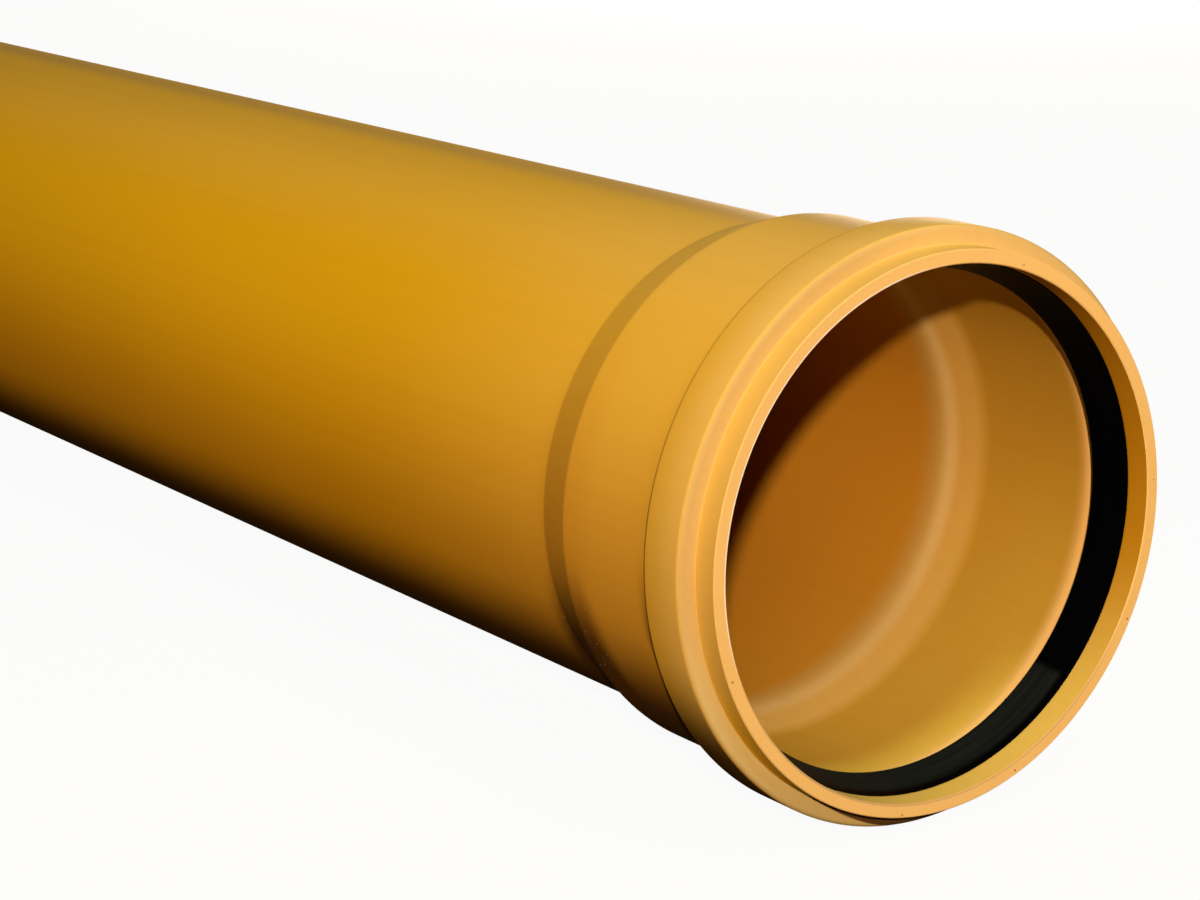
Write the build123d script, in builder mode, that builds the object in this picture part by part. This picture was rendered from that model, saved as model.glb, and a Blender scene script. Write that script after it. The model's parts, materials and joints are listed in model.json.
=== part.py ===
from build123d import *
import os
from math import asin, atan2, cos, hypot, radians, sin, tan

# Sewer pipe of solid-wall PVC-U with a belled socket and a rubber lip seal, lying on a level floor.
# The mouth looks along +X and the origin is on the floor, under the middle of the length. Millimetres.

# Barrel, nominal outside diameter 160 with the wall of the heavy sewer grade
barrel_diameter = 160.0
barrel_wall = 4.7
# Length as sold, from the spigot's end to where the next spigot stops inside the socket
laying_length = 1000.0

# Spigot, chamfered so that it slides under the next pipe's seal
spigot_chamfer_length = 9.0
spigot_chamfer_angle = 15.0

# Socket, formed out of the same wall, with a cone at its root inside and outside
socket_clearance = 0.4
socket_wall = 4.3
socket_depth = 74.0
root_taper_length = 17.0
seat_taper_length = 14.0
root_bend_radius = 4.0
seat_entry_radius = 15.0
seat_end_radius = 25.0
mouth_edge_break = 0.3

# Collar round the socket, whose inside is the groove of the seal
lip_length = 8.8
collar_length = 16.9
collar_rise = 5.6
collar_wall = 3.6
collar_back_wall = 3.0
collar_front_radius = 1.7
collar_back_radius = 0.5
collar_foot_radius = 0.5
groove_corner_radius = 0.8

# Rubber seal, with stations measured from the mouth
seal_clearance = 0.2
seal_front_station = 8.2
seal_front_drop = 0.3
seal_lip_station = 20.9
seal_lip_drop = 4.5
seal_tip_radius = 0.8
seal_hinge_station = 18.4
seal_hinge_drop = -0.2
seal_heel_drop = -2.8

# Radii
barrel_radius = barrel_diameter / 2
bore_radius = barrel_radius - barrel_wall
socket_bore_radius = barrel_radius + socket_clearance
socket_radius = socket_bore_radius + socket_wall
collar_radius = socket_radius + collar_rise
groove_radius = collar_radius - collar_wall
spigot_tip_radius = barrel_radius - spigot_chamfer_length * tan(radians(spigot_chamfer_angle))
# The wall turns into the groove in front round the same centre as the collar's foot, where the groove leaves room,
# and behind in a wider bend, over which the next spigot slides
groove_depth = groove_radius - socket_bore_radius
groove_front_bend = min(collar_foot_radius + socket_wall, 0.75 * groove_depth)
groove_back_bend = 0.85 * groove_depth

# Stations along the axis, from the mouth
collar_end = lip_length + collar_length
groove_start = lip_length + collar_wall
groove_end = collar_end - collar_back_wall
total_length = socket_depth + laying_length
chamfer_start = total_length - spigot_chamfer_length

# Unheld, the pipe rests on the rounded back edge of its collar and on the foot of the spigot's chamfer
edge_station = collar_end - collar_back_radius
edge_height = collar_radius - collar_back_radius
support_run = chamfer_start - edge_station
support_rise = edge_height - barrel_radius
rest_tilt = atan2(support_rise, support_run) + asin(collar_back_radius / hypot(support_rise, support_run))
mouth_height = edge_station * sin(rest_tilt) + edge_height * cos(rest_tilt) + collar_back_radius
end_lean = (socket_radius - mouth_edge_break - spigot_tip_radius) * sin(rest_tilt)
mouth_x = (total_length * cos(rest_tilt) - end_lean) / 2

# Section plane through the axis, with its X from the mouth to the spigot and its Y outwards
section_plane = Plane(
    origin=(mouth_x, 0, mouth_height),
    x_dir=(-cos(rest_tilt), 0, -sin(rest_tilt)),
    z_dir=(0, 1, 0),
)
pipe_axis = Axis(section_plane.origin, section_plane.x_dir)

# Pipe, one formed piece
with BuildPart() as pipe:
    with BuildSketch(section_plane) as wall_section:
        with BuildLine():
            outside = FilletPolyline(
                (0, socket_radius - mouth_edge_break),
                (mouth_edge_break, socket_radius),
                (lip_length, socket_radius),
                (lip_length, collar_radius),
                (collar_end, collar_radius),
                (collar_end, socket_radius),
                (socket_depth, socket_radius),
                (socket_depth + root_taper_length, barrel_radius),
                (chamfer_start, barrel_radius),
                (total_length, spigot_tip_radius),
                radius=[
                    0,
                    collar_foot_radius,
                    collar_front_radius,
                    collar_back_radius,
                    collar_foot_radius,
                    root_bend_radius,
                    root_bend_radius,
                    0,
                ],
            )
            inside = FilletPolyline(
                (total_length, bore_radius),
                (socket_depth + seat_taper_length, bore_radius),
                (socket_depth, socket_bore_radius),
                (groove_end, socket_bore_radius),
                (groove_end, groove_radius),
                (groove_start, groove_radius),
                (groove_start, socket_bore_radius),
                (mouth_edge_break, socket_bore_radius),
                (0, socket_bore_radius + mouth_edge_break),
                radius=[
                    seat_end_radius,
                    seat_entry_radius,
                    groove_back_bend,
                    groove_corner_radius,
                    groove_corner_radius,
                    groove_front_bend,
                    0,
                ],
            )
            Line(outside @ 1, inside @ 0)
            Line(inside @ 1, outside @ 0)
        make_face()
    revolve(axis=pipe_axis)
pipe.part.label = "pipe"

# Seal ring, drawn into the middle of the wall round the groove and cut back by the wall and its clearance
with BuildPart() as seal_ring:
    with BuildSketch(section_plane) as seal_section:
        with BuildLine():
            FilletPolyline(
                (seal_front_station, socket_bore_radius - seal_front_drop),
                (seal_lip_station, socket_bore_radius - seal_lip_drop),
                (seal_hinge_station, socket_bore_radius - seal_hinge_drop),
                (groove_end + collar_back_wall / 2, socket_bore_radius - seal_heel_drop),
                (groove_end + collar_back_wall / 2, groove_radius + collar_wall / 2),
                (groove_start - collar_wall / 2, groove_radius + collar_wall / 2),
                (groove_start - collar_wall / 2, socket_bore_radius + socket_wall / 2),
                (seal_front_station, socket_bore_radius + socket_wall / 2),
                radius=[0, seal_tip_radius, seal_tip_radius, 0, 0, 0, 0, 0],
                close=True,
            )
        make_face()
        offset(wall_section.sketch_local, amount=seal_clearance, mode=Mode.SUBTRACT)
    revolve(axis=pipe_axis)
seal_ring.part.label = "seal_ring"

os.makedirs("parts", exist_ok=True)
export_step(pipe.part, "parts/pipe.step")
export_step(seal_ring.part, "parts/seal_ring.step")
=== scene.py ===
import json
import math

import bmesh
import bpy
from bpy.props import FloatProperty, FloatVectorProperty, IntProperty, PointerProperty
from mathutils import Matrix, Vector


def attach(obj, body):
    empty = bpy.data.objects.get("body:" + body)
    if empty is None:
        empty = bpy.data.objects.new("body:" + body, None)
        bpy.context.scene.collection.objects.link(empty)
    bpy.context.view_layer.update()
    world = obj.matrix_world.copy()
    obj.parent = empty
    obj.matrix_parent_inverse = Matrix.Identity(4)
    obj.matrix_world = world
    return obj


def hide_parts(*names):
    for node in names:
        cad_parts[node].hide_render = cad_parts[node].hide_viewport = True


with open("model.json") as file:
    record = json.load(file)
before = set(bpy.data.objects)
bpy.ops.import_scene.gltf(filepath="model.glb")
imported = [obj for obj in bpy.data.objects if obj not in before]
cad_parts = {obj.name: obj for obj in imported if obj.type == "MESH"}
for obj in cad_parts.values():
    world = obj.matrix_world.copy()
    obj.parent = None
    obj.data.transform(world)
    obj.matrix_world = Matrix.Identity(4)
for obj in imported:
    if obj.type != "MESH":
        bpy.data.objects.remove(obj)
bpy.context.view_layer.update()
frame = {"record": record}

bl_info = {
    "name": "Socketed Sewer Pipe",
    "version": (1, 0, 0),
    "blender": (4, 5, 0),
    "location": "View3D > Sidebar > Pipe",
    "description": "Models a socketed plastic sewer pipe with its rubber seal, and a plain stage for it",
    "category": "Add Mesh",
}

# A millimetre in metres, plain white, and the mounts of the part by name
MM = 0.001
WHITE = (1.0, 1.0, 1.0, 1.0)
MOUNT = {mount["name"]: mount for mount in frame["record"]["mounts"]}

# Where the pipe lies: the centre of its mouth, the way out of the mouth, and up at right angles to it
EDGE_BREAK = 0.3 * MM
OUT = Vector(MOUNT["socket_mouth"]["axis"]).normalized()
SIDE = Vector((0.0, 1.0, 0.0))
UP = OUT.cross(SIDE).normalized()
LIP_WALL = MOUNT["socket_mouth"]["dims"]["length_mm"] * MM
MOUTH = Vector(MOUNT["socket_mouth"]["pos_m"]) + OUT * (LIP_WALL / 2 + EDGE_BREAK)

# Straight wall kept beside the bends, so that each bend runs out on it
WALL_HOLD = 3 * MM
FOOT_HOLD = 2 * MM
SEAT_HOLD = 8 * MM
ENTRY_HOLD = 6 * MM
GROOVE_HOLD = 9 * MM

# How closely points are merged, rings of edges found and faces told apart
MERGE_GAP = 1e-6
RING_GAP = 2e-5
END_GAP = 1e-5
INWARD = -0.02
SMOOTH_ANGLE = math.radians(28)

# Material slots of the pipe
BORE_SLOT = 1
CUT_SLOT = 2

# Steps in which the seal follows the wall in front and behind
HUG_FRONT_STEPS = 7
HUG_BACK_STEPS = 5

# Side of the floor and near limit of the camera in metres, and width of its frame in millimetres
FLOOR_SIZE = 60
CLIP_START = 0.01
SENSOR_WIDTH = 36


def mount_radius(name):
    """Radius of a round mount, in metres."""
    return MOUNT[name]["dims"]["r_mm"] / 1000


def at(station, radius):
    """Point of the section above the axis, at a distance from the mouth."""
    return MOUTH - OUT * station + UP * radius


def station_of(point):
    """Distance of a point from the mouth, along the axis."""
    return (MOUTH - point).dot(OUT)


def radial_of(point):
    """Vector from the axis to a point, square to the axis."""
    arm = point - MOUTH
    return arm - OUT * arm.dot(OUT)


def length(name, description, default):
    """A length that a user may change."""
    return FloatProperty(name=name, description=description, default=default, unit="LENGTH", precision=5)


def colour(name, description, default):
    """A colour that a user may change."""
    return FloatVectorProperty(
        name=name, description=description, default=default, subtype="COLOR", min=0, max=1
    )


def share(name, description, default):
    """A share of one that a user may change."""
    return FloatProperty(
        name=name, description=description, default=default, subtype="FACTOR", min=0, max=1, precision=4
    )


def angle(name, description, degrees):
    """An angle that a user may change."""
    return FloatProperty(
        name=name, description=description, default=math.radians(degrees), subtype="ANGLE"
    )


def watts(name, description, default):
    """A lamp's power that a user may change."""
    return FloatProperty(name=name, description=description, default=default, unit="POWER")


def spot(name, description, default):
    """A place that a user may change."""
    return FloatVectorProperty(name=name, description=description, default=default, subtype="XYZ")


class PipeSizes(bpy.types.PropertyGroup):
    """Sizes of the pipe's wall"""

    barrel_radius: length("Barrel radius", "Outside radius of the barrel", mount_radius("spigot"))
    bore_radius: length("Bore radius", "Inside radius of the barrel", mount_radius("flow_bore"))
    socket_bore: length("Socket bore", "Inside radius of the socket", mount_radius("socket_mouth"))
    socket_radius: length("Socket radius", "Outside radius of the socket", 0.0847)
    collar_radius: length("Collar radius", "Outside radius of the collar", 0.0903)
    groove_radius: length("Groove radius", "Inside radius of the seal groove", 0.0867)
    lip_length: length("Lip", "Mouth to the front of the collar", 0.0088)
    collar_end: length("Collar end", "Mouth to the back of the collar", 0.0257)
    groove_start: length("Groove start", "Mouth to the front of the groove", 0.0124)
    groove_end: length("Groove end", "Mouth to the back of the groove", 0.0227)
    socket_depth: length("Socket depth", "Mouth to the start of the root cone", 0.074)
    root_taper: length("Root cone", "Length of the cone outside the root", 0.017)
    seat_taper: length("Seat cone", "Length of the cone inside the root", 0.014)
    total_length: length("Total length", "Mouth to the end of the spigot", 1.074)
    chamfer_length: length("Chamfer", "Length of the spigot's chamfer", 0.009)
    chamfer_drop: length("Chamfer drop", "Depth of the spigot's chamfer", 0.0024115)
    front_round: length("Collar front", "Rounding of the collar's front edge", 0.0017)
    back_round: length("Collar back", "Rounding of the collar's back edge", 0.0005)
    foot_round: length("Collar foot", "Rounding at the collar's foot", 0.0005)
    front_bend: length("Groove front bend", "Rounding of the wall in front of the groove", 0.004725)
    back_bend: length("Groove back bend", "Rounding of the wall behind the groove", 0.005355)
    root_bend: length("Root bend", "Rounding at both ends of the cone outside", 0.004)
    seat_entry: length("Seat entry", "Rounding where the cone inside starts", 0.015)
    seat_end: length("Seat end", "Rounding where the cone inside meets the bore", 0.025)
    steps: IntProperty(name="Steps", description="Faces round the pipe", default=240, min=24)


class SealSizes(bpy.types.PropertyGroup):
    """Sizes of the rubber seal"""

    clearance: length("Clearance", "Gap between the seal and its groove", 0.0002)
    front_station: length("Front", "Mouth to the seal's front edge", 0.0082)
    front_radius: length("Front radius", "Radius of the seal's front edge", 0.0801)
    lip_station: length("Lip", "Mouth to the seal's lip", 0.0209)
    lip_radius: length("Lip radius", "Radius of the lip before it is rounded", 0.0759)
    hinge_station: length("Hinge", "Mouth to the bend behind the lip", 0.0184)
    hinge_radius: length("Hinge radius", "Radius of the bend behind the lip", 0.0806)
    heel_radius: length("Heel radius", "Radius where the seal's back meets the groove", 0.082815)
    tip_round: length("Tip", "Rounding of the lip", 0.0008)


class Finishes(bpy.types.PropertyGroup):
    """Colours, sheens and roughness of the pipe, its seal and the floor"""

    skin: colour("Skin", "Ochre of the formed wall", (0.78, 0.465, 0.008))
    formed: colour("Formed", "Paler ochre where the socket was formed", (0.79, 0.54, 0.125))
    shoulder: colour("Shoulder", "Pale tan of the collar's front", (0.585, 0.415, 0.15))
    shoulder_dust: colour("Shoulder dust", "Dusty tan low on the collar's front", (0.64, 0.545, 0.24))
    # Painted shade, darker downwards on the near side of the wall
    shaded: colour("Handled", "Brown film where the wall was handled", (0.55, 0.18, 0.010))
    # Painted shade underneath, along the lip's bottom and in the corners by the collar
    painted_shade: colour("Soil", "Dark soil underneath and in the corners", (0.07, 0.026, 0.006))
    # Painted shade along the top on the far side and on top of the root cone
    top_shade: colour("Top dust", "Brown dust along the top", (0.34, 0.22, 0.10))
    specks: colour("Specks", "Grains of dust, most of them at the socket's root", (0.50, 0.38, 0.26))
    scuff: colour("Scuffs", "Pale scuffs along the wall", (0.84, 0.54, 0.20))
    socket: colour("Socket", "Ochre inside the socket", (0.47, 0.283, 0.034))
    bore: colour("Bore", "Deeper ochre inside the barrel", (0.475, 0.232, 0.021))
    bent: colour("Bent", "Pale ochre of the stretched wall inside the root", (0.48, 0.318, 0.088))
    # Painted highlight where the cone inside ends
    ridge_highlight: colour("Ridge", "Palest line where the cone inside ends", (0.57, 0.43, 0.19))
    socket_dust: colour("Socket dust", "Dust in the bottom of the socket", (0.70, 0.525, 0.08))
    groove_bend: colour("Groove bend", "Pale bend behind the groove", (0.74, 0.50, 0.20))
    lip_inside: colour("Lip inside", "Ochre inside the lip", (0.49, 0.248, 0.011))
    lip_dust: colour("Lip dust", "Dusty ochre low inside the lip", (0.75, 0.57, 0.115))
    cut: colour("Saw cut", "Paler orange of a sawn end", (0.81, 0.545, 0.188))
    pit: colour("Pits", "Dark pits in a sawn end", (0.16, 0.06, 0.015))
    # Painted shade low on a sawn end's inner edge
    rim_shade: colour("Rim grime", "Grime low on a sawn end's inner edge", (0.30, 0.20, 0.12))
    # A whitened edge from the saw, painted as a highlight on one side only
    burr_highlight: colour("Burr", "Whitened edge that the saw leaves", (0.98, 0.92, 0.78))
    rubber: colour("Rubber", "Black of the seal", (0.0006, 0.0006, 0.0010))
    # Paler grey film on the lower part of the seal's lip
    rubber_film: colour("Rubber film", "Dust on the lower part of the seal", (0.0125, 0.0180, 0.0165))
    floor: colour("Floor", "Pale floor", (0.9, 0.9, 0.9))
    floor_bounce: colour("Floor bounce", "Light that the floor throws back", (0.04, 0.04, 0.04))
    wall_sheen: share("Wall sheen", "Sheen of the formed wall", 0.0006)
    cut_sheen: share("Cut sheen", "Sheen of a sawn end", 0.05)
    rubber_sheen: share("Rubber sheen", "Sheen of the seal", 0.012)
    skin_rough: share("Skin roughness", "Roughness of the wall outside", 0.50)
    bore_rough: share("Bore roughness", "Roughness of the wall inside", 0.40)
    cut_rough: share("Cut roughness", "Roughness of a sawn end", 0.62)
    rubber_rough: share("Rubber roughness", "Roughness of the seal", 0.42)


class StageSetup(bpy.types.PropertyGroup):
    """Camera and lamps of the stage"""

    camera_place: spot("Camera place", "Where the camera stands", (1.18677, -0.57499, 0.34294))
    camera_turn: angle("Camera turn", "Turn of the camera about the vertical", 55.170)
    camera_dip: angle("Camera dip", "How far the camera looks down", 14.699)
    lens: FloatProperty(
        name="Lens", description="Focal length for a 36 mm frame", default=92.72, unit="CAMERA"
    )
    reach: length("Reach", "Mouth to the lamps in front", 2.1)
    key_power: watts("Key lamp", "Power of the small low lamp", 48.0)
    key_turn: angle("Key turn", "Bearing of the small low lamp", 51.0)
    key_rise: angle("Key rise", "Height angle of the small low lamp", 22.0)
    key_size: length("Key size", "Width of the small low lamp", 0.07)
    key_tint: colour("Key tint", "Colour of the small low lamp", (1.0, 0.67, 0.40))
    soft_power: watts("Soft lamp", "Power of the wide high lamp", 21.0)
    soft_turn: angle("Soft turn", "Bearing of the wide high lamp", 78.0)
    soft_rise: angle("Soft rise", "Height angle of the wide high lamp", 52.0)
    soft_size: length("Soft size", "Width of the wide high lamp", 1.3)
    soft_tint: colour("Soft tint", "Colour of the wide high lamp", (1.0, 1.0, 1.0))
    back_power: watts("Back lamp", "Power of the lamp behind", 34.0)
    back_place: spot("Back place", "Where the lamp behind stands", (-1.5, 1.8, 0.28))
    back_aim: spot("Back aim", "Where the lamp behind looks", (0.0, 0.0, 0.1))
    back_size: length("Back size", "Width of the lamp behind", 0.4)
    back_tint: colour("Back tint", "Colour of the lamp behind", (1.0, 0.78, 0.55))
    fill: share("Fill", "Strength of the light all round", 0.01)
    pale: share("Pale", "Whiteness of the floor and surroundings where seen", 0.945)


class Field:
    """A number that varies over a surface, written in sums and products"""

    def __init__(self, surface, socket):
        self.surface = surface
        self.socket = socket

    def _math(self, operation, first, second=0.0):
        made = self.surface.node("Math", {"operation": operation}, Value=first, Value_001=second)
        return self.surface.field(made)

    def __add__(self, other):
        return self._math("ADD", self, other)

    def __radd__(self, other):
        return self._math("ADD", other, self)

    def __sub__(self, other):
        return self._math("SUBTRACT", self, other)

    def __rsub__(self, other):
        return self._math("SUBTRACT", other, self)

    def __mul__(self, other):
        return self._math("MULTIPLY", self, other)

    def __rmul__(self, other):
        return self._math("MULTIPLY", other, self)

    def __truediv__(self, other):
        return self._math("DIVIDE", self, other)

    def __rtruediv__(self, other):
        return self._math("DIVIDE", other, self)

    def least(self, other):
        """The smaller of two numbers."""
        return self._math("MINIMUM", self, other)

    def most(self, other):
        """The larger of two numbers."""
        return self._math("MAXIMUM", self, other)

    def root(self):
        """The square root."""
        return self._math("SQRT", self)

    def swing(self, amount):
        """A noise about its middle, times an amount."""
        return (self - 0.5) * amount

    def ramp(self, low, high, start=0.0, end=1.0):
        """Runs smoothly from start at low to end at high, and stays there."""
        if low > high:
            low, high, start, end = high, low, end, start
        made = self.surface.node(
            "MapRange",
            {"interpolation_type": "SMOOTHSTEP"},
            Value=self,
            From_Min=low,
            From_Max=high,
            To_Min=start,
            To_Max=end,
        )
        return self.surface.field(made)

    def band(self, low, high, soft):
        """One between low and high, with soft edges."""
        return self.ramp(low - soft, low + soft) * self.ramp(high + soft, high - soft)


class Surface:
    """The nodes of a material or of the surroundings, made one after the other"""

    def __init__(self, owner):
        owner.use_nodes = True
        self.owner = owner
        self.tree = owner.node_tree
        self.tree.nodes.clear()

    def node(self, kind, settings=None, **sockets):
        """Adds a node, sets it up, and feeds its sockets by identifier or name."""
        made = self.tree.nodes.new("ShaderNode" + kind)
        for key, value in (settings or {}).items():
            setattr(made, key, value)
        for key, value in sockets.items():
            slot = self._input(made, key)
            if isinstance(value, Field):
                value = value.socket
            if isinstance(value, bpy.types.NodeSocket):
                self.tree.links.new(value, slot)
            else:
                slot.default_value = value
        return made

    @staticmethod
    def _input(made, key):
        for slot in made.inputs:
            if slot.identifier.lower() == key.lower():
                return slot
        wanted = key.replace("_", " ").lower()
        for slot in made.inputs:
            if slot.name.lower() == wanted and slot.enabled:
                return slot
        raise KeyError(f"{made.bl_idname} has no input {key}")

    def field(self, made, output=0):
        """A node's output as a number that varies."""
        return Field(self, made.outputs[output])

    def place(self, scale=(1, 1, 1), turn=0.0):
        """Coordinates with X out of the mouth and the origin at its centre, turned about X and scaled."""
        to_pipe = Matrix((OUT, SIDE, UP)).to_4x4() @ Matrix.Translation(-MOUTH)
        lean = to_pipe.to_euler()
        coordinates = self.node("TexCoord").outputs["Object"]
        put = self.node("Mapping", Vector=coordinates, Location=to_pipe.translation, Rotation=lean)
        if turn == 0.0 and tuple(scale) == (1, 1, 1):
            return put.outputs[0]
        return self.node("Mapping", Vector=put.outputs[0], Rotation=(turn, 0, 0), Scale=scale).outputs[0]

    def polar(self):
        """Distances from the mouth and from the axis, and how far a point faces the far side and up."""
        apart = self.node("SeparateXYZ", Vector=self.place())
        x, y, z = (self.field(apart, axis) for axis in range(3))
        radius = (y * y + z * z).root()
        return x * -1.0, radius, y / radius, z / radius

    def noise(self, scale, detail=2.0, turn=0.0, stretch=(1, 1, 1)):
        """Soft noise, turned about the axis and finer where stretch says so."""
        coordinates = self.place(stretch, turn)
        return self.field(self.node("TexNoise", Vector=coordinates, Scale=scale, Detail=detail))

    def specks(self, scale):
        """Distance from scattered points, and a random number for each."""
        made = self.node("TexVoronoi", Vector=self.place(), Scale=scale)
        tone = self.node("SeparateColor", Color=made.outputs["Color"])
        return self.field(made), self.field(tone)

    def mix(self, factor, first, second):
        """Colour between two colours."""
        made = self.node(
            "Mix",
            {"data_type": "RGBA"},
            Factor_Float=factor,
            A_Color=rgba(first),
            B_Color=rgba(second),
        )
        return next(output for output in made.outputs if output.identifier == "Result_Color")

    def shade(self, tint, amount):
        """Colour times a number that varies."""
        grey = self.node("CombineXYZ", X=amount, Y=amount, Z=amount)
        made = self.node("VectorMath", {"operation": "MULTIPLY"}, Vector=tint, Vector_001=grey.outputs[0])
        return made.outputs[0]

    def bump(self, height, strength, distance):
        """Normal of a surface with small heights."""
        return self.node("Bump", Height=height, Strength=strength, Distance=distance).outputs[0]

    def seen(self):
        """One for what the camera sees, straight or in a gloss or through something clear."""
        path = self.node("LightPath")
        straight = self.field(path, "Is Camera Ray")
        return straight.most(self.field(path, "Is Glossy Ray")).most(self.field(path, "Is Transmission Ray"))

    def finish(self, **sockets):
        """Ends the nodes in one surface with these inputs, and gives the material back."""
        shader = self.node("BsdfPrincipled", **sockets)
        self.node("OutputMaterial", Surface=shader.outputs[0])
        return self.owner


def rgba(value):
    """A colour with its alpha, or a socket as it is."""
    if isinstance(value, bpy.types.NodeSocket):
        return value
    return (*value, 1.0)


def skin_finish(tints, sizes):
    """Formed ochre plastic outside: satin, drawn along its length, lightly scuffed and dusty, with painted
    light on top and painted shade below and in the corners.
    """
    skin = Surface(bpy.data.materials.new("ochre_skin"))
    station, radius, far, up = skin.polar()
    lip = sizes.lip_length
    collar = sizes.collar_end
    socket = sizes.socket_depth
    root = socket + sizes.root_taper
    wall = sizes.socket_radius

    # Clouds of tone, lines drawn along the wall, scuffs, and specks of dust at the root of the socket
    cloud = skin.noise(7.0, detail=3.0)
    drawn = skin.noise(1.0, detail=3.0, stretch=(1.5, 260, 260))
    fine = skin.noise(1.0, stretch=(6, 900, 900))
    peel = skin.noise(900.0)
    scuff = skin.noise(1.0, stretch=(22, 700, 700)).ramp(0.74, 0.80) * skin.noise(9.0).ramp(0.45, 0.62)
    near, tag = skin.specks(560.0)
    settled = station.band(socket - 10 * MM, root + 4 * MM, 6 * MM)
    dust = near.ramp(0.26, 0.10) * tag.ramp(0.62, 0.72)
    dust = dust * (0.08 + settled * up.ramp(-0.05, -0.45) * 0.9)

    # The wall pales towards the mouth, most of all on the front of the collar, and painted light pales it
    # along the top
    formed_and_lit = station.ramp(socket + 150 * MM, collar, 0.0, 0.42)
    formed_and_lit = formed_and_lit + station.ramp(collar, lip + MM, 0.0, 0.53)
    formed_and_lit = (formed_and_lit + up.ramp(0.64, 1.0, 0.0, 0.33)).least(1.0)
    # Painted shade keeps the bottom of the lip less pale
    lip_low = station.ramp(lip, lip - 0.5 * MM) * up.ramp(-0.25, -0.6)
    formed_and_lit = formed_and_lit * (1.0 - lip_low * 0.7)
    front = station.ramp(lip + 1.2 * MM, lip + 0.2 * MM) * radius.ramp(wall, wall + 0.2 * MM)
    shoulder = skin.mix(up.ramp(0.0, -0.55), tints.shoulder, tints.shoulder_dust)
    base = skin.mix(front, skin.mix(formed_and_lit, tints.skin, tints.formed), shoulder)
    # Painted light brightens the top of the lip and of the collar's front on the far side
    top_light = station.ramp(lip + 2.5 * MM, lip + 0.5 * MM) * far.ramp(-0.45, 0.05) * up.ramp(0.2, 0.8)
    tone = 1.0 + cloud.swing(0.10) + drawn.swing(0.07) + fine.swing(0.03) + top_light * 0.17

    # Painted shade on the near side from the collar back, which grows darker downwards
    drop = up + cloud.swing(0.08) - settled * 0.2 - station.ramp(root, socket) * 0.07
    shaded = station.ramp(collar - MM, collar + 2 * MM, 0.15, 1.0) * far.ramp(0.30, 0.0, 0.4, 1.0)
    base = skin.mix(shaded * drop.ramp(0.55, -0.45, 0.0, 0.42), base, tints.shaded)

    # Painted shadow of the collar in the corner behind it and on the socket just behind, wider and darker
    # towards the bottom
    wider = up.ramp(0.6, -0.35, 0.0, 0.8 * MM)
    corner = station.ramp(collar - 1.2 * MM, collar - 0.5 * MM)
    corner = corner * (station - wider).ramp(collar + 1.2 * MM, collar + 0.4 * MM)
    corner = corner * up.ramp(0.95, -0.35, 0.25, 0.95)
    behind = station.ramp(collar + 12.5 * MM, collar + 7.5 * MM) * station.ramp(collar - MM, collar)
    corner = corner.most(behind * up.ramp(0.05, -0.40, 0.0, 0.9))

    # Painted shade darkens the underside, less on the far side, and along the bottom of the lip
    under = station.ramp(lip + MM, lip + 2.5 * MM) * drop.ramp(-0.32, -0.73, 0.0, 0.94)
    under = under * far.ramp(0.45, 0.0, 0.5, 1.0)
    under = under.most(station.ramp(lip, lip - MM) * drop.ramp(-0.81, -0.97, 0.0, 0.9))

    # Painted shadow of the lip also fills the corner between the lip and the collar, deepest at the bottom
    fill = far.ramp(-0.60, -0.05, 0.0, 6 * MM) * far.ramp(0.55, 0.25) * up.ramp(-0.55, -0.80)
    sill = (radius - fill).ramp(wall, wall - 0.6 * MM)
    sill = sill * station.ramp(lip - 0.6 * MM, lip - 0.2 * MM)
    sill = sill * station.ramp(lip + 1.8 * MM, lip + 0.6 * MM)
    under = under.most(sill * 0.94)
    base = skin.mix(corner.most(under), base, tints.painted_shade)

    # Painted shade lies thinly along the top on the far side, and thicker on top of the cone at the root
    across = far + cloud.swing(0.25)
    crest_shade = far.ramp(-0.12, 0.06) * across.ramp(0.42, 0.10)
    crest_shade = crest_shade * station.ramp(lip + 2 * MM, collar, 0.0, 0.42)
    cone = station.band(socket + MM, root, 3 * MM)
    cone = cone * far.ramp(-0.25, 0.0) * across.ramp(0.42, 0.10, 0.0, 0.7)
    base = skin.mix(crest_shade.most(cone) * up.ramp(0.0, 0.25), base, tints.top_shade)

    base = skin.mix(dust * 0.8, base, tints.specks)
    base = skin.mix(scuff * 0.12, base, tints.scuff)
    return skin.finish(
        Base_Color=skin.shade(base, tone),
        Roughness=tints.skin_rough + cloud.swing(0.12) + scuff * 0.14 + dust * 0.2 + under * 0.35,
        Specular_IOR_Level=tints.wall_sheen,
        Normal=skin.bump(drawn * 0.5 + fine * 0.25 + peel * 0.35, strength=0.10, distance=0.6 * MM),
    )


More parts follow.
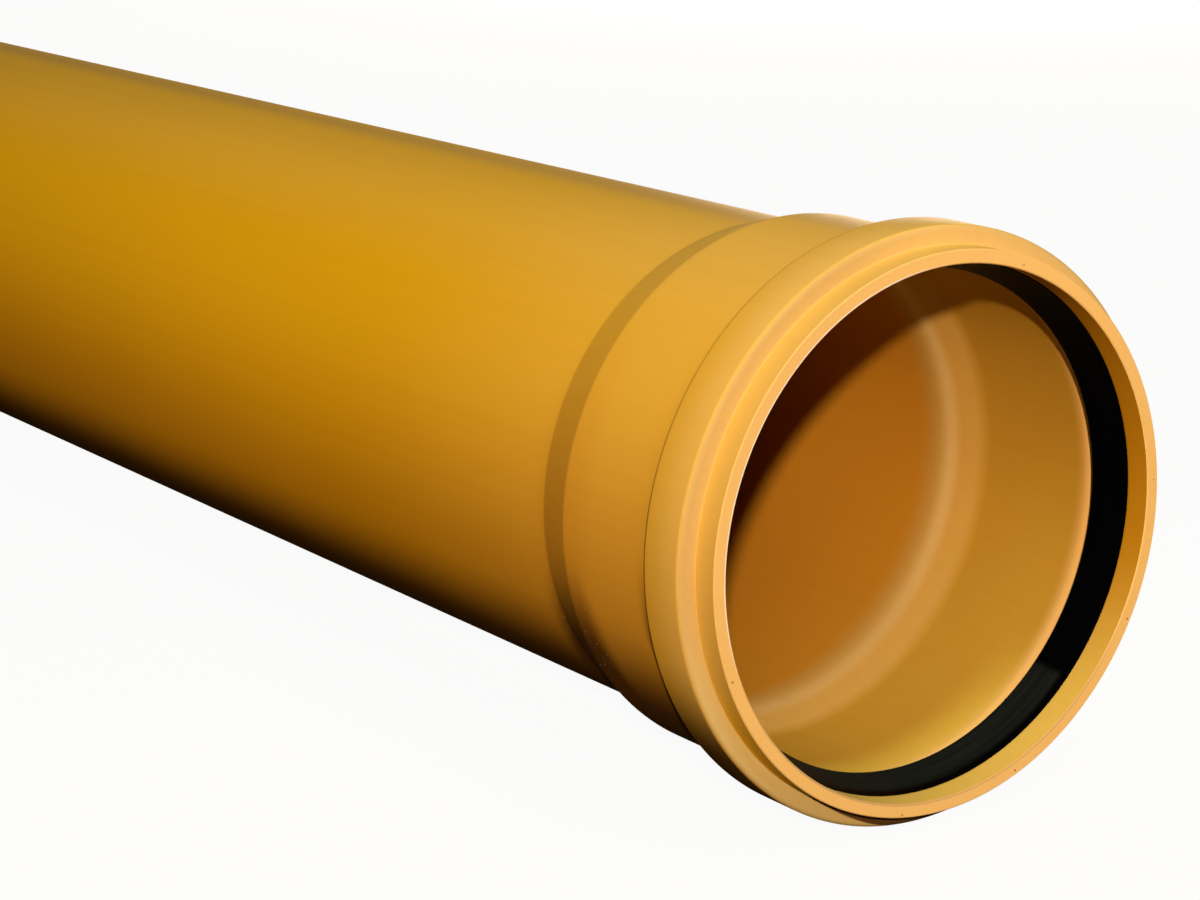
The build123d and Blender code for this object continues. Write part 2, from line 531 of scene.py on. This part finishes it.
def bore_finish(tints, sizes):
    """Formed ochre plastic inside: smoother, with the faint lines of the mandrel, and painted lighter on its
    sides and top than at the bottom.
    """
    bore = Surface(bpy.data.materials.new("ochre_bore"))
    station, _, _, up = bore.polar()
    socket = sizes.socket_depth
    seat = socket + sizes.seat_taper
    groove = sizes.groove_end
    cloud = bore.noise(9.0, detail=3.0)
    drawn = bore.noise(1.0, detail=3.0, stretch=(1.2, 330, 330))
    rings = bore.noise(1.0, stretch=(420, 6, 6))
    low = up.ramp(-0.15, -0.90)

    # The wall is stretched pale on the cone at the root, and a painted highlight lies where the cone ends
    tint = bore.mix(station.ramp(socket, seat + 10 * MM), tints.socket, tints.bore)
    stretched = station.ramp(socket - 3 * MM, socket + 3 * MM, 0.0, 0.75)
    stretched = stretched.most(station.ramp(seat - 8 * MM, seat - 3 * MM))
    stretched = stretched * station.ramp(seat + 13 * MM, seat - MM)
    tint = bore.mix(stretched, tint, tints.bent)
    ridge_highlight = station.band(seat - 4.5 * MM, seat + 0.2 * MM, 2.4 * MM) * up.ramp(-0.15, -0.90, 0.8, 0.35)
    tint = bore.mix(ridge_highlight, tint, tints.ridge_highlight)

    # Dust lies in the bottom near the mouth, and the bend behind the groove is stretched pale
    dust_end = 48 * MM
    bend_end = 31.5 * MM
    dust = station.ramp(dust_end, groove + 3 * MM) * up.ramp(-0.55, -0.97)
    tint = bore.mix(dust, tint, tints.socket_dust)
    tint = bore.mix(station.ramp(bend_end, groove + 1.5 * MM) * 0.85, tint, tints.groove_bend)
    lip = bore.mix(low, tints.lip_inside, tints.lip_dust)
    tint = bore.mix(station.ramp(sizes.lip_length, sizes.groove_start), lip, tint)

    # Painted light: the wall inside is lighter on its sides and top than at its bottom
    tone = 1.17 - low * 0.17 + cloud.swing(0.10) + drawn.swing(0.08) + rings.swing(0.03)
    return bore.finish(
        Base_Color=bore.shade(tint, tone),
        Roughness=tints.bore_rough + cloud.swing(0.14),
        Specular_IOR_Level=tints.wall_sheen,
        Normal=bore.bump(drawn * 0.6 + rings * 0.3, strength=0.10, distance=0.6 * MM),
    )


def cut_finish(tints, sizes):
    """Sawn end: paler and dull, with saw lines, pits, a whitened inner edge painted as a highlight on one
    side, painted shade low on that edge, and painted light on its far half.
    """
    cut = Surface(bpy.data.materials.new("sawn_end"))
    _, radius, far, up = cut.polar()
    inner = sizes.socket_bore
    lines = cut.noise(1.0, detail=3.0, turn=0.5, stretch=(1, 2600, 90))
    grain = cut.noise(1500.0, detail=3.0)
    cloud = cut.noise(40.0)
    fray = cut.noise(600.0)
    near, tag = cut.specks(330.0)
    pit = near.ramp(0.16, 0.07) * tag.ramp(0.978, 0.99)
    # Saw lines, grain and clouds of tone, and painted light on the far half of the end
    tone = 1.0 + lines.swing(0.10) + grain.swing(0.08) + cloud.swing(0.06) + far.ramp(-0.7, 0.5, 0.0, 0.07)

    # The whitened inner edge is painted as a highlight on one side, and painted shade lies along it at the
    # bottom
    rim = (radius + fray.swing(0.3 * MM)).ramp(inner + 0.78 * MM, inner + 0.50 * MM)
    burr_highlight = rim * far.ramp(0.05, -0.40) * up.ramp(-0.42, -0.08) * (0.6 + fray)
    edge_shadow = rim * up.ramp(-0.35, -0.75) * 0.45
    base = cut.mix(pit * 0.8, tints.cut, tints.pit)
    base = cut.mix(edge_shadow, base, tints.rim_shade)
    base = cut.mix(burr_highlight.least(0.9), base, tints.burr_highlight)
    return cut.finish(
        Base_Color=cut.shade(base, tone),
        Roughness=tints.cut_rough + grain.swing(0.2),
        Specular_IOR_Level=tints.cut_sheen,
        Normal=cut.bump(lines * 0.6 + grain * 0.4 - pit * 2.0, strength=0.22, distance=0.4 * MM),
    )


def rubber_finish(tints):
    """Black moulded rubber with a soft sheen and a paler film low on its lip, where it faces up."""
    rubber = Surface(bpy.data.materials.new("seal_rubber"))
    _, radius, far, up = rubber.polar()
    cloud = rubber.noise(60.0, detail=3.0)
    grain = rubber.noise(1800.0)
    smear = rubber.noise(1.0, stretch=(900, 25, 25))

    # A paler film lies on the lower part of the lip, and stops short on one side
    film_rim = 79.7 * MM
    lies = (up + cloud.swing(0.03)).ramp(-0.69, -0.72) * far.ramp(-0.75, -0.30)
    film = lies * radius.ramp(film_rim, film_rim - 0.8 * MM) * (0.55 + smear.swing(0.9))
    return rubber.finish(
        Base_Color=rubber.mix(film, tints.rubber, tints.rubber_film),
        Roughness=tints.rubber_rough + cloud.swing(0.15) + film * 0.12,
        Specular_IOR_Level=tints.rubber_sheen,
        Normal=rubber.bump(grain * 0.5 + cloud * 0.5, strength=0.08, distance=0.3 * MM),
    )


def floor_finish(tints, paleness):
    """Pale floor that shows its shadow and throws little light back."""
    floor = Surface(bpy.data.materials.new("pale_floor"))
    dull = floor.node("BsdfDiffuse", Color=rgba(tints.floor_bounce))
    lit = floor.node("BsdfDiffuse", Color=rgba(tints.floor))
    glow = floor.node("Emission", Color=WHITE, Strength=1.0)
    pale = floor.node("MixShader", Fac=paleness, Shader=lit.outputs[0], Shader_001=glow.outputs[0])
    both = floor.node("MixShader", Fac=floor.seen(), Shader=dull.outputs[0], Shader_001=pale.outputs[0])
    floor.node("OutputMaterial", Surface=both.outputs[0])
    return floor.owner


def pale_surroundings(paleness, fill):
    """Surroundings as pale as the floor where they are seen, with a faint light all round."""
    around = Surface(bpy.data.worlds.new("surroundings"))
    strength = around.seen() * (paleness - fill) + fill
    sky = around.node("Background", Color=WHITE, Strength=strength)
    around.node("OutputWorld", Surface=sky.outputs[0])
    return around.owner


def start_piece(name, point):
    """A new mesh in edit mode that is one vertex, with its object at the origin."""
    bpy.ops.object.select_all(action="DESELECT")
    bpy.ops.mesh.primitive_plane_add(size=0.01)
    piece = bpy.context.object
    piece.name = name
    piece.data.name = name
    bpy.ops.object.mode_set(mode="EDIT")
    bpy.ops.mesh.select_mode(type="VERT")
    bpy.ops.mesh.select_all(action="SELECT")
    bpy.ops.mesh.merge(type="CENTER")
    bpy.ops.transform.translate(value=point)
    return piece


def draw_section(points):
    """Extrudes the one selected vertex through the other points of a section, and closes it."""
    for before, after in zip(points, points[1:]):
        bpy.ops.mesh.extrude_vertices_move(TRANSFORM_OT_translate={"value": at(*after) - at(*before)})
    bpy.ops.mesh.select_all(action="DESELECT")
    mesh = bmesh.from_edit_mesh(bpy.context.object.data)
    for vertex in mesh.verts:
        vertex.select = len(vertex.link_edges) == 1
    mesh.select_flush_mode()
    bmesh.update_edit_mesh(bpy.context.object.data)
    bpy.ops.mesh.edge_face_add()


def spin_section(steps):
    """Turns the section once round the pipe's axis and closes the seam."""
    bpy.ops.mesh.select_all(action="SELECT")
    bpy.ops.mesh.spin(steps=steps, angle=math.tau, center=MOUTH, axis=OUT)
    bpy.ops.mesh.select_all(action="SELECT")
    bpy.ops.mesh.remove_doubles(threshold=MERGE_GAP)
    bpy.ops.mesh.normals_make_consistent(inside=False)


def on_ring(point, station, radius):
    """Whether a point lies on the ring at a station and a radius."""
    along = abs(station_of(point) - station)
    outwards = abs(radial_of(point).length - radius)
    return max(along, outwards) < RING_GAP


def round_ring(station, radius, run, segments):
    """Bevels the ring of edges at a station and a radius, by a run along both faces."""
    data = bpy.context.object.data
    bpy.ops.mesh.select_mode(type="EDGE")
    bpy.ops.mesh.select_all(action="DESELECT")
    mesh = bmesh.from_edit_mesh(data)
    ring = [edge for edge in mesh.edges if all(on_ring(v.co, station, radius) for v in edge.verts)]
    if not ring:
        raise RuntimeError(f"no ring of edges {station / MM:.2f} mm from the mouth")
    for edge in ring:
        edge.select_set(True)
    bmesh.update_edit_mesh(data)
    bpy.ops.mesh.bevel(offset_type="OFFSET", offset=run, segments=segments, profile=0.5, affect="EDGES")


def assign_faces(piece, slot, wanted):
    """Gives a material slot to the faces that a test picks by their middle and normal."""
    bpy.ops.mesh.select_mode(type="FACE")
    bpy.ops.mesh.select_all(action="DESELECT")
    mesh = bmesh.from_edit_mesh(piece.data)
    for face in mesh.faces:
        face.select_set(wanted(face.calc_center_median(), face.normal))
    bmesh.update_edit_mesh(piece.data)
    piece.active_material_index = slot
    bpy.ops.object.material_slot_assign()


def close_piece(piece, node):
    """Leaves edit mode, smooths the piece and puts it in its CAD node's place."""
    bpy.ops.object.mode_set(mode="OBJECT")
    bpy.ops.object.shade_smooth_by_angle(angle=SMOOTH_ANGLE)
    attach(piece, "root")
    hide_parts(node)


def bend_share(rise, run):
    """Run of a bend along each face, as a share of its radius, where a cone meets a straight wall."""
    return math.tan(math.atan2(rise, run) / 2)


def sweep(first, last, steps):
    """Angles from the first to the last in even steps."""
    return [first + (last - first) * step / steps for step in range(steps + 1)]


class SEWERPIPE_OT_form_pipe(bpy.types.Operator):
    """Spin the pipe's wall from its section, round its bends and give it its finishes"""

    bl_idname = "sewerpipe.form_pipe"
    bl_label = "Form Pipe"

    def execute(self, context):
        sizes = context.scene.sewerpipe_sizes
        tints = context.scene.sewerpipe_finishes
        end = sizes.total_length
        foot = end - sizes.chamfer_length
        socket = sizes.socket_depth
        root = socket + sizes.root_taper
        seat = socket + sizes.seat_taper
        section = [
            (0, sizes.socket_radius - EDGE_BREAK),
            (EDGE_BREAK, sizes.socket_radius),
            (sizes.lip_length, sizes.socket_radius),
            (sizes.lip_length, sizes.collar_radius),
            (sizes.collar_end, sizes.collar_radius),
            (sizes.collar_end, sizes.socket_radius),
            (sizes.collar_end + WALL_HOLD, sizes.socket_radius),
            (socket - WALL_HOLD, sizes.socket_radius),
            (socket, sizes.socket_radius),
            (root, sizes.barrel_radius),
            (root + WALL_HOLD, sizes.barrel_radius),
            (foot - FOOT_HOLD, sizes.barrel_radius),
            (foot, sizes.barrel_radius),
            (end, sizes.barrel_radius - sizes.chamfer_drop),
            (end, sizes.bore_radius),
            (seat + SEAT_HOLD, sizes.bore_radius),
            (seat, sizes.bore_radius),
            (socket, sizes.socket_bore),
            (socket - ENTRY_HOLD, sizes.socket_bore),
            (sizes.groove_end + GROOVE_HOLD, sizes.socket_bore),
            (sizes.groove_end, sizes.socket_bore),
            (sizes.groove_end, sizes.groove_radius),
            (sizes.groove_start, sizes.groove_radius),
            (sizes.groove_start, sizes.socket_bore),
            (EDGE_BREAK, sizes.socket_bore),
            (0, sizes.socket_bore + EDGE_BREAK),
        ]
        piece = start_piece("pipe_wall", at(*section[0]))
        draw_section(section)
        spin_section(sizes.steps)

        # Each bend with its station, radius, run along the faces and number of steps
        outside = bend_share(sizes.socket_radius - sizes.barrel_radius, sizes.root_taper)
        inside = bend_share(sizes.socket_bore - sizes.bore_radius, sizes.seat_taper)
        for ring in (
            (sizes.lip_length, sizes.socket_radius, sizes.foot_round, 5),
            (sizes.lip_length, sizes.collar_radius, sizes.front_round, 6),
            (sizes.collar_end, sizes.collar_radius, sizes.back_round, 5),
            (sizes.collar_end, sizes.socket_radius, sizes.foot_round, 5),
            (socket, sizes.socket_radius, sizes.root_bend * outside, 3),
            (root, sizes.barrel_radius, sizes.root_bend * outside, 3),
            (socket, sizes.socket_bore, sizes.seat_entry * inside, 5),
            (seat, sizes.bore_radius, sizes.seat_end * inside, 6),
            (sizes.groove_end, sizes.socket_bore, sizes.back_bend, 10),
            (sizes.groove_start, sizes.socket_bore, sizes.front_bend, 8),
        ):
            round_ring(*ring)

        def looks_in(middle, normal):
            return normal.dot(radial_of(middle).normalized()) < INWARD

        def is_sawn(middle, normal):
            return not EDGE_BREAK < station_of(middle) < end - END_GAP

        for finish in (skin_finish, bore_finish, cut_finish):
            piece.data.materials.append(finish(tints, sizes))
        assign_faces(piece, BORE_SLOT, looks_in)
        assign_faces(piece, CUT_SLOT, is_sawn)
        close_piece(piece, "pipe")
        return {"FINISHED"}


class SEWERPIPE_OT_fit_seal(bpy.types.Operator):
    """Spin the rubber lip seal in its groove"""

    bl_idname = "sewerpipe.fit_seal"
    bl_label = "Fit Seal"

    def execute(self, context):
        sizes = context.scene.sewerpipe_sizes
        seal = context.scene.sewerpipe_seal
        front = sizes.groove_start + seal.clearance
        back = sizes.groove_end - seal.clearance
        top = sizes.groove_radius - seal.clearance

        # The front and back of the seal follow the wall where it turns into the groove
        front_arm = sizes.front_bend + seal.clearance
        back_arm = sizes.back_bend + seal.clearance
        front_x, front_y = sizes.groove_start - sizes.front_bend, sizes.socket_bore + sizes.front_bend
        back_x, back_y = sizes.groove_end + sizes.back_bend, sizes.socket_bore + sizes.back_bend
        front_rise = math.asin((seal.front_station - front_x) / front_arm)
        back_rise = math.asin((back_y - seal.heel_radius) / back_arm)
        hug_front = [
            (front_x + front_arm * math.sin(turn), front_y - front_arm * math.cos(turn))
            for turn in sweep(math.pi / 2, front_rise, HUG_FRONT_STEPS)
        ]
        hug_back = [
            (back_x - back_arm * math.cos(turn), back_y - back_arm * math.sin(turn))
            for turn in sweep(back_rise, 0.0, HUG_BACK_STEPS)
        ]
        edge = Vector((seal.front_station, seal.front_radius))
        lip = Vector((seal.lip_station, seal.lip_radius))
        hinge = Vector((seal.hinge_station, seal.hinge_radius))
        section = [
            edge,
            (edge + lip) / 2,
            lip,
            hinge,
            *hug_back,
            (back, top),
            (front, top),
            *hug_front,
        ]
        piece = start_piece("seal_rubber_ring", at(*section[0]))
        draw_section(section)
        spin_section(sizes.steps)
        half = (edge - lip).angle(hinge - lip) / 2
        round_ring(seal.lip_station, seal.lip_radius, seal.tip_round / math.tan(half), 6)
        piece.data.materials.append(rubber_finish(context.scene.sewerpipe_finishes))
        close_piece(piece, "seal_ring")
        return {"FINISHED"}


def toward(turn, rise):
    """Direction at a bearing from the front and a height angle."""
    return Vector((math.sin(turn) * math.cos(rise), -math.cos(turn) * math.cos(rise), math.sin(rise)))


def add_lamp(name, place, target, power, width, tint):
    """A soft round lamp that looks at a point."""
    bpy.ops.object.light_add(type="AREA", location=place)
    lamp = bpy.context.object
    lamp.name = name
    lamp.rotation_euler = (target - place).to_track_quat("-Z", "Y").to_euler()
    lamp.data.shape = "DISK"
    lamp.data.size = width
    lamp.data.energy = power
    lamp.data.color = tint
    lamp.visible_camera = False


class SEWERPIPE_OT_set_stage(bpy.types.Operator):
    """Set the floor, the lamps, the surroundings and the camera"""

    bl_idname = "sewerpipe.set_stage"
    bl_label = "Set Stage"

    def execute(self, context):
        scene = context.scene
        stage = scene.sewerpipe_stage
        bpy.ops.object.select_all(action="DESELECT")
        bpy.ops.mesh.primitive_plane_add(size=FLOOR_SIZE)
        floor = context.object
        floor.name = "floor"
        floor.data.materials.append(floor_finish(scene.sewerpipe_finishes, stage.pale))

        key = MOUTH + toward(stage.key_turn, stage.key_rise) * stage.reach
        soft = MOUTH + toward(stage.soft_turn, stage.soft_rise) * stage.reach
        back = stage.back_place
        add_lamp("key_lamp", key, MOUTH, stage.key_power, stage.key_size, stage.key_tint)
        add_lamp("soft_lamp", soft, MOUTH, stage.soft_power, stage.soft_size, stage.soft_tint)
        add_lamp("back_lamp", back, stage.back_aim, stage.back_power, stage.back_size, stage.back_tint)
        scene.world = pale_surroundings(stage.pale, stage.fill)

        bpy.ops.object.camera_add(
            location=stage.camera_place, rotation=(math.pi / 2 - stage.camera_dip, 0, stage.camera_turn)
        )
        camera = context.object
        camera.name = "photo_camera"
        camera.data.sensor_width = SENSOR_WIDTH
        camera.data.lens = stage.lens
        camera.data.clip_start = CLIP_START
        scene.camera = camera
        scene.view_settings.view_transform = "Standard"
        return {"FINISHED"}


class SEWERPIPE_PT_panel(bpy.types.Panel):
    """Sidebar panel with the pipe's steps and sizes"""

    bl_idname = "SEWERPIPE_PT_panel"
    bl_label = "Sewer Pipe"
    bl_space_type = "VIEW_3D"
    bl_region_type = "UI"
    bl_category = "Pipe"

    def draw(self, context):
        column = self.layout.column()
        for step in (SEWERPIPE_OT_form_pipe, SEWERPIPE_OT_fit_seal, SEWERPIPE_OT_set_stage):
            column.operator(step.bl_idname)
        for group in GROUPS:
            values = getattr(context.scene, group)
            box = self.layout.box()
            for name in values.__annotations__:
                box.prop(values, name)


GROUPS = {
    "sewerpipe_sizes": PipeSizes,
    "sewerpipe_seal": SealSizes,
    "sewerpipe_finishes": Finishes,
    "sewerpipe_stage": StageSetup,
}
CLASSES = (
    *GROUPS.values(),
    SEWERPIPE_OT_form_pipe,
    SEWERPIPE_OT_fit_seal,
    SEWERPIPE_OT_set_stage,
    SEWERPIPE_PT_panel,
)


def register():
    for item in CLASSES:
        bpy.utils.register_class(item)
    for name, group in GROUPS.items():
        setattr(bpy.types.Scene, name, PointerProperty(type=group))


def unregister():
    for name in GROUPS:
        delattr(bpy.types.Scene, name)
    for item in reversed(CLASSES):
        bpy.utils.unregister_class(item)


def main():
    register()
    bpy.ops.sewerpipe.form_pipe()
    bpy.ops.sewerpipe.fit_seal()
    bpy.ops.sewerpipe.set_stage()


if __name__ == "__main__":
    main()
